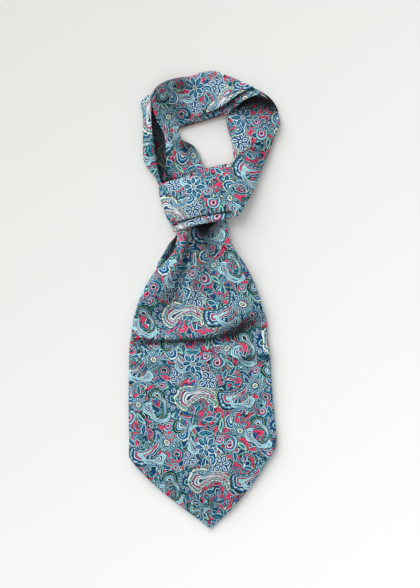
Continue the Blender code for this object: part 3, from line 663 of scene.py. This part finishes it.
# Neckband, the narrow fold along the outer left edge of the loop
neckSide = {
    "grain": 78, "printAt": (-18, 34), "tuck": 5,
    "rows": table(
        "x0 y0 x1 y1 z0 r0 z1 r1 rise",
        (-39, 104, -36, 106, 4.1, 1.3, 4.1, 1.0, 0),
        (-44.8, 114, -40.6, 115, 4.6, 1.6, 5.0, 1.0, 0),
        (-48.6, 122.4, -44.4, 123, 6.8, 2.6, 8.0, 1.1, 0.3),
        (-56.4, 132, -46.2, 133, 8.0, 3.3, 9.8, 1.1, 0.8),
        (-60.7, 140.4, -47.6, 141.4, 8.4, 3.5, 10.2, 1.1, 1.4),
        (-61.3, 152, -49, 152, 8.4, 3.5, 10.6, 1.1, 1.6),
        (-61.3, 168, -51.6, 168, 8.4, 3.5, 12.0, 1.1, 0.8),
        (-61.4, 182, -52.6, 182, 8.6, 3.6, 12.4, 1.1, 0.6),
        (-62.6, 192, -52.6, 193, 8.0, 3.4, 10.2, 1.1, 0.6),
        (-63.4, 198.4, -52.7, 200, 7.0, 3.0, 8.6, 1.1, 0.4),
        (-57.7, 204, -52.6, 204.4, 6.2, 2.4, 7.2, 1.0, 0.2),
        (-53.5, 207, -51.5, 207, 5.4, 1.0, 5.6, 0.8, 0)),
    "creases": [
        [(-62, 176, 0, 3, 4), (-56, 178, 0.8, 3, 4), (-52, 181, 0.3, 3, 4)],
        [(-62, 160, 0, 4, 3), (-57, 158, -0.7, 4, 3), (-52, 157, 0, 4, 3)],
    ],
    "rumples": [(18, 0.7, 7.7), (8, 0.3, 2.2)],
    # painted shade along its inner side, towards the channel
    "paintedShade": [[(-51, 168, 0.1, 3, 3), (-48.4, 152, 0.55, 3, 4), (-46.6, 140, 0.6, 3, 4),
                (-44.6, 128, 0.5, 3, 3)]],
}

# Neckband, the layer that lies on the surface: it shows in the open channel and the gap at the top
neckBase = {
    "grain": 75, "printAt": (15, -30), "tuck": 3, "wall": flatLayer["wall"],
    "rows": flatTable(
        "x0 y0 x1 y1",
        (-43.4, 116.6, -1, 124), (-46.8, 123, -3, 130), (-56, 140, -8, 146), (-57, 160, -20, 156),
        (-55.6, 180, -29, 168), (-55, 197, -28, 176), (-45, 206, -22, 180), (-23, 213, -6, 184),
        (3, 215, 10, 188), (26, 211, 26, 194)),
    # painted shade over nearly all of it, so the open channel and the gap read dark
    "paintedShade": [[(-50, 200, 0.96, 24, 24), (-46, 182, 0.94, 24, 24), (-44, 160, 0.92, 24, 24),
                (-46, 142, 0.88, 24, 24), (-44, 114, 0.88, 24, 24)]],
}

# Neckband, the narrow fold under the top one: along the opening, then up in an arch over the right stretch
neckStrip = {
    "grain": 20, "printAt": (-10, 36), "tuck": 5,
    "rows": table(
        "x0 y0 x1 y1 z0 r0 z1 r1 rise",
        (-25, 171.6, -20, 182, 3.6, 1.1, 3.6, 1.0, 0),
        (-15, 174.7, -11, 188, 3.6, 1.1, 3.6, 1.0, 0),
        (-3, 178.1, -1, 193, 3.8, 1.2, 3.6, 1.0, 0),
        (9.6, 181.7, 9, 197, 4.4, 1.4, 3.8, 1.0, 0),
        (22.3, 185.6, 18, 202, 6.0, 1.6, 4.0, 1.0, 0),
        (28.5, 190.7, 25, 207, 8.6, 1.5, 4.4, 1.0, 0),
        (34.4, 195.1, 32, 212, 11.2, 1.3, 5.0, 1.0, 0),
        (40, 199.1, 38, 213.8, 13.0, 1.2, 6.4, 1.0, 0),
        (46.5, 202.3, 45.3, 213.4, 13.8, 1.1, 8.0, 1.2, 0.2),
        (52.5, 204.2, 53, 210.7, 13.8, 1.1, 10.0, 1.3, 0.2),
        (58.5, 204.6, 60, 206.4, 12.8, 0.8, 11.8, 0.8, 0),
        (64.3, 200.5, 66.4, 201.6, 10.0, 0.6, 9.6, 0.6, 0),
        (69.8, 194.6, 71.6, 195.4, 6.0, 0.5, 5.8, 0.5, 0),
        (73.6, 189.3, 74.7, 189.5, 2.4, 0.5, 2.4, 0.5, 0)),
    "rumples": [(16, 0.4, 8.8)],
    "rims": [[(-26, 171.2, 0.9, 0.8, 0.8), (-15, 174.6, 1, 0.8, 0.8), (-3, 178, 1, 0.8, 0.8),
              (9.6, 181.6, 1, 0.8, 0.8), (23, 185.8, 0.8, 0.8, 0.8)]],
    # painted shade: in the gap under the top fold's edge, in a thin line beside the rim, and on the arch's
    # right end
    "paintedShade": [
        [(4, 189, 0.6, 2.5, 2.5), (14, 192.5, 0.9, 3, 3), (24, 199.5, 0.95, 3.4, 3.4),
         (34, 206, 0.9, 3.4, 3.4), (44, 210.5, 0.5, 2.5, 2)],
        [(-25, 172.9, 0.9, 0.9, 0.9), (-3, 179.3, 0.95, 0.9, 0.9), (22, 186.9, 0.6, 0.9, 0.9)],
        [(54, 206, 0.1, 3, 3), (61, 204, 0.8, 3, 3), (66, 200.6, 1.2, 3, 3), (75, 188, 1.2, 3, 3)],
    ],
}

# Right stretch and front of the knot in one: out of the arch, down, over the neck and round its left side
knotWrap = {
    "grain": -35, "printAt": (-58, 30), "tuck": 6, "crown": 0.9, "low": 0.6,
    "rows": table(
        "x0 y0 x1 y1 z0 r0 z1 r1 rise bow",
        (34, 207, 56, 206.6, 1.9, 0.95, 1.9, 0.95, 0, 0),
        (28, 197, 67.4, 200, 1.9, 0.95, 1.9, 0.95, 0, 0),
        (24.5, 189, 72.6, 191.4, 1.9, 0.95, 1.9, 0.95, 0, 0),
        (22.4, 182, 75.6, 183.4, 4.6, 1.6, 5.6, 2.4, 3.0, 0),
        (22.8, 176, 76, 176.6, 5.6, 1.9, 7.6, 3.4, 3.0, 0),
        (24.8, 168, 73.2, 168.4, 5.0, 1.7, 8.0, 3.6, 2.6, 0),
        (27.2, 160.6, 70.2, 161, 4.8, 1.7, 8.0, 3.8, 2.0, 0),
        (28.6, 151, 66.2, 149.6, 5.4, 1.9, 8.0, 3.8, 1.4, 0),
        (29.3, 143, 60.4, 136, 6.4, 2.3, 8.0, 3.6, 1.6, 0),
        (27.8, 138, 53.8, 120, 8.0, 2.6, 9.4, 3.4, 2.2, 0),
        (24.2, 136.6, 48.4, 106.8, 9.6, 3.0, 11.2, 3.4, 2.6, 0),
        (18.2, 135.2, 40.4, 92.8, 10.4, 3.0, 13.4, 2.4, 3.2, 0.6),
        (14.6, 134.6, 36.6, 87, 10.6, 2.9, 14.0, 1.8, 3.2, 0.7),
        (11.8, 134, 31.2, 82.4, 10.8, 2.9, 14.6, 1.4, 3.2, 0.7),
        (9.6, 133.4, 27.6, 88.4, 11.0, 2.8, 15.8, 1.2, 2.6, 0.6),
        (2, 131.8, 15, 87.2, 11.4, 2.4, 17.0, 1.0, 2.2, 0),
        (-10, 127.3, 1, 84.8, 11.8, 2.2, 17.4, 1.0, 2.0, 0),
        (-23, 121.7, -12, 81.8, 12.0, 2.2, 17.0, 1.0, 2.0, 0),
        (-34, 119.2, -24, 78.6, 11.4, 2.4, 14.8, 1.3, 2.6, 0.6),
        (-41.6, 117, -31.6, 74.6, 9.4, 2.8, 9.6, 2.0, 3.2, 1.4),
        (-45.4, 113.2, -33.4, 76.2, 6.2, 2.6, 6.4, 2.6, 1.6, 2.2),
        (-45.6, 110.4, -33.4, 78.2, 2.9, 1.0, 2.9, 1.0, 0.2, 2.0)),
    "creases": [
        [(62, 151, -1.5, 4, 4.5), (53, 150, -2.6, 4, 4.5), (42, 147, -1.4, 4, 4.5), (36, 140, 0, 4, 4.5)],
        [(70, 172, -1.2, 3, 3.5), (66, 158, -2.0, 3, 3.5), (60, 148, -1.6, 3, 3.5), (54, 136, -0.8, 3, 3.5)],
        [(58, 147, 0.5, 6, 5), (48, 138, 1.8, 6, 5), (40, 124, 1.4, 6, 5), (34, 112, 0, 6, 5)],
        [(29, 90, -1.2, 2.6, 3), (28, 97, -1.4, 3.4, 4), (22, 108, -1.4, 5, 5), (17, 120, 0, 5, 5)],
        [(36, 96, -1.2, 4, 4), (30, 110, -1.0, 4, 4), (28, 124, 0, 4, 4)],
        [(-38, 104, -0.8, 6, 7), (-20, 102, -1.4, 6, 7), (0, 106, -0.8, 6, 7), (12, 112, 0, 6, 7)],
        [(-36, 88, 0.3, 6, 6), (-18, 92, 1.0, 6, 6), (2, 94, 0.6, 6, 6)],
    ],
    "rumples": [(30, 1.0, 6.6), (13, 0.4, 3.9)],
    "rims": [[(0, 131.4, 0.4, 0.7, 0.7), (4, 132.4, 0.8, 0.7, 0.7), (12, 134.2, 0.7, 0.7, 0.7),
              (17, 135, 0, 0.7, 0.7)]],
    # painted shade: the hollow under the arch and below it, the creases of the right stretch, and a short
    # line at the pleat's right end
    "paintedShade": [
        [(22, 187, 0.5, 12, 3), (30, 193.5, 0.98, 16, 5), (40, 197.5, 1, 16, 7.5), (50, 200, 1, 16, 9),
         (60, 199, 1, 16, 9), (67, 194, 0.95, 13, 7), (72, 187, 0.6, 9, 5), (74.5, 181, 0.1, 8, 4)],
        [(36, 184, 0.2, 7, 7), (44, 184, 0.45, 8, 8), (53, 184, 0.4, 8, 8), (62, 184, 0.25, 7, 7),
         (70, 183, 0, 6, 6)],
        [(27, 146, 0.15, 4, 4), (40, 142, 0.32, 6, 7), (52, 141, 0.38, 7, 8), (62, 146, 0.3, 5, 6)],
        [(60, 150, 0.5, 2.2, 2.2), (53, 150, 0.4, 2.2, 2.2), (44, 147.5, 0.2, 2, 2)],
        [(66, 158, 0.3, 2, 2), (60, 148, 0.3, 2, 2)],
        [(27.2, 90, 0.5, 1, 1), (27.8, 95, 0.35, 1, 1), (28.6, 100, 0, 1, 1)],
    ],
}

# Pleat of the wrap: the strip that shows below its lower edge
knotPleat = {
    "grain": -35, "printAt": (122, 124), "tuck": 5,
    "rows": table(
        "x0 y0 x1 y1 z0 r0 z1 r1 rise",
        (31, 94, 32.4, 86.4, 7.6, 1.0, 8.4, 1.8, 0.2),
        (27, 92.4, 29, 82.8, 9.8, 1.0, 11.4, 1.8, 0.2),
        (17, 90.8, 19.6, 79.8, 12.8, 1.0, 16.0, 1.8, 0.2),
        (2, 88, 4, 76.6, 14.0, 1.0, 17.2, 1.8, 0.2),
        (-12.6, 85, -10.4, 73.5, 13.8, 1.0, 16.8, 1.8, 0.2),
        (-23.6, 81.6, -21.6, 70.3, 11.2, 1.0, 14.6, 1.8, 0.2),
        (-31.4, 78, -29.8, 67.8, 4.8, 1.0, 8.8, 1.7, 0.3)),
    "rumples": [(14, 0.5, 1.9)],
    # painted shade: a dark line just under the wrap's lower edge
    "paintedShade": [[(28, 88.4, 0.7, 0.9, 0.8), (24, 87.6, 0.9, 0.9, 0.8), (14, 86.6, 0.9, 0.9, 0.8),
                (1, 84.6, 0.9, 0.9, 0.8), (-12, 81.4, 0.9, 0.9, 0.8), (-24, 78.2, 0.8, 0.9, 0.8),
                (-31, 74, 0.6, 0.9, 0.8)]],
}

# Under blade, flat under the front one: a sliver shows at the left of the neck
underBlade = {
    "grain": 0, "printAt": (40, 33), "tuck": 3, "wall": flatLayer["wall"],
    "rows": flatTable(
        "x0 y0 x1 y1",
        (-24.5, 76, 21, 84), (-28.2, 64.5, 24, 70), (-35.8, 55.9, 27, 58), (-40.2, 47.6, 29, 48),
        (-46.2, 37, 33, 38), (-49, 26, 40, 26), (-56, 8, 48, 8), (-64, -16, 55, -16), (-68.5, -52, 59.5, -52),
        (-69.5, -110, 64, -110), (-68, -138, 65, -138), (-48, -158, 47, -158), (-22, -180, 25, -180),
        (1.5, -199.5, 3.4, -199.5)),
    # painted shade over the sliver at the left of the neck
    "paintedShade": [[(-22, 76, 1, 10, 10), (-29, 58, 1, 9, 5), (-35, 46, 0.95, 9, 4.5), (-42, 34, 0.8, 9, 4),
                (-48, 24, 0.4, 8, 4)]],
    "fine": 3,
}

# Back of the knot, flat under it, where the band passes behind
knotBack = {
    "grain": -20, "printAt": (10, 60), "tuck": 4, "wall": flatLayer["wall"],
    "rows": flatTable(
        "x0 y0 x1 y1 bow",
        (-44, 110.2, -32, 78.8, 2.0), (-34, 112.6, -25, 77, 0.8), (-18, 117, -7, 80.4, 0),
        (4, 122.6, 9, 83.2, 0), (20, 125.6, 23, 85.4, 0)),
    "fine": 2.4,
}

# Each sheet: its piece, the nodes it replaces, the cut of what shows of it in mm, its flat area in square cm,
# how it is held and what it lies on
for name, piece, nodes, cut, area, held, under in (
        ("neck_base", neckBase, (), (54, 142), 62, "folded", ["floor"]),
        ("under_blade", underBlade, ("blade_under",), (144, 284), 307, "laid", ["floor"]),
        ("knot_back_cloth", knotBack, ("knot_back",), (49, 62), 28, "folded", ["floor"]),
        ("neck_side", neckSide, ("band_left",), (32, 110), 24, "folded", ["neck_base"]),
        ("neck_strip", neckStrip, (), (33, 116), 25, "folded", ["neck_base"]),
        ("neck_fold", neckFold, ("band_top",), (74, 186), 99, "folded", ["neck_base", "neck_strip"]),
        ("front_blade", frontBlade, ("blade_front",), (168, 336), 445, "gathered",
         ["under_blade", "knot_back_cloth"]),
        ("knot_wrap_cloth", knotWrap, ("band_right", "knot_wrap"), (77, 190), 117, "gathered",
         ["floor", "neck_fold", "front_blade"]),
        ("knot_pleat_cloth", knotPleat, ("knot_pleat",), (26, 68), 17, "folded", ["front_blade"])):
    sheet = laySheet(name, piece)
    sheet.data.materials.append(silk)
    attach(sheet, "root")
    if nodes:
        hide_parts(*nodes)
    print(name, "laid:", len(sheet.data.polygons), "faces")

# Pale floor painted darker towards the upper left and lighter towards the lower right, a painted light
# falloff;
# soft light from the upper left, camera straight above; lengths in metres
studio = {"floor": 12.0, "below": 0.0004, "paper": ("#e1e1dd", "#fefefd"), "paperRoughness": 0.9,
          "paintedLightTowards": (0.24, -0.33, 0), "paintedLightSpan": 0.15, "keyFrom": (-0.5, 0.72, 0.62),
          "keyStrength": 2.5, "keySpread": 1, "sky": "#f6f6f6", "skyStrength": 0.62, "height": 1.6,
          "lens": 65.0, "film": 24, "centre": (0.006, 0.006)}

bpy.ops.object.select_all(action="DESELECT")
bpy.ops.mesh.primitive_plane_add(size=studio["floor"], location=(0, 0, -studio["below"]))
floor = bpy.context.active_object
floor.name = "floor"
paper = bpy.data.materials.new("matte paper sweep")
paper.use_nodes = True
tree = paper.node_tree
tree.nodes.clear()
# painted light falloff: the floor's colour runs from darker at the upper left to lighter at the lower right
across = put(tree, "VectorMath", [put(tree, "TexCoord", out="Object"), studio["paintedLightTowards"]], out="Value",
             operation="DOT_PRODUCT")
share = put(tree, "MapRange", [across, -studio["paintedLightSpan"], studio["paintedLightSpan"]])
paintedShadeEnd, paintedLightEnd = (hexColour(text) for text in studio["paper"])
paintedFalloff = blend(tree, share, paintedShadeEnd, paintedLightEnd)
shader = put(tree, "BsdfPrincipled", {"Base Color": paintedFalloff, "Roughness": studio["paperRoughness"]})
put(tree, "OutputMaterial", [shader], out=None)
floor.data.materials.append(paper)

key = bpy.data.lights.new("key", "SUN")
key.angle = studio["keySpread"]
key.energy = studio["keyStrength"]
keyObject = bpy.data.objects.new("key", key)
keyObject.location = studio["keyFrom"]
keyObject.rotation_euler = (-Vector(studio["keyFrom"])).to_track_quat("-Z", "Y").to_euler()
bpy.context.scene.collection.objects.link(keyObject)

world = bpy.data.worlds.new("studio")
world.use_nodes = True
sky = world.node_tree.nodes["Background"]
sky.inputs["Color"].default_value = hexColour(studio["sky"])
sky.inputs["Strength"].default_value = studio["skyStrength"]
bpy.context.scene.world = world
bpy.context.scene.view_settings.view_transform = "Standard"

camera = bpy.data.cameras.new("camera")
camera.sensor_fit = "VERTICAL"
camera.sensor_height = studio["film"]
camera.lens = studio["lens"]
cameraObject = bpy.data.objects.new("camera", camera)
cameraObject.location = (*studio["centre"], studio["height"])
bpy.context.scene.collection.objects.link(cameraObject)
bpy.context.scene.camera = cameraObject
print("studio ready")
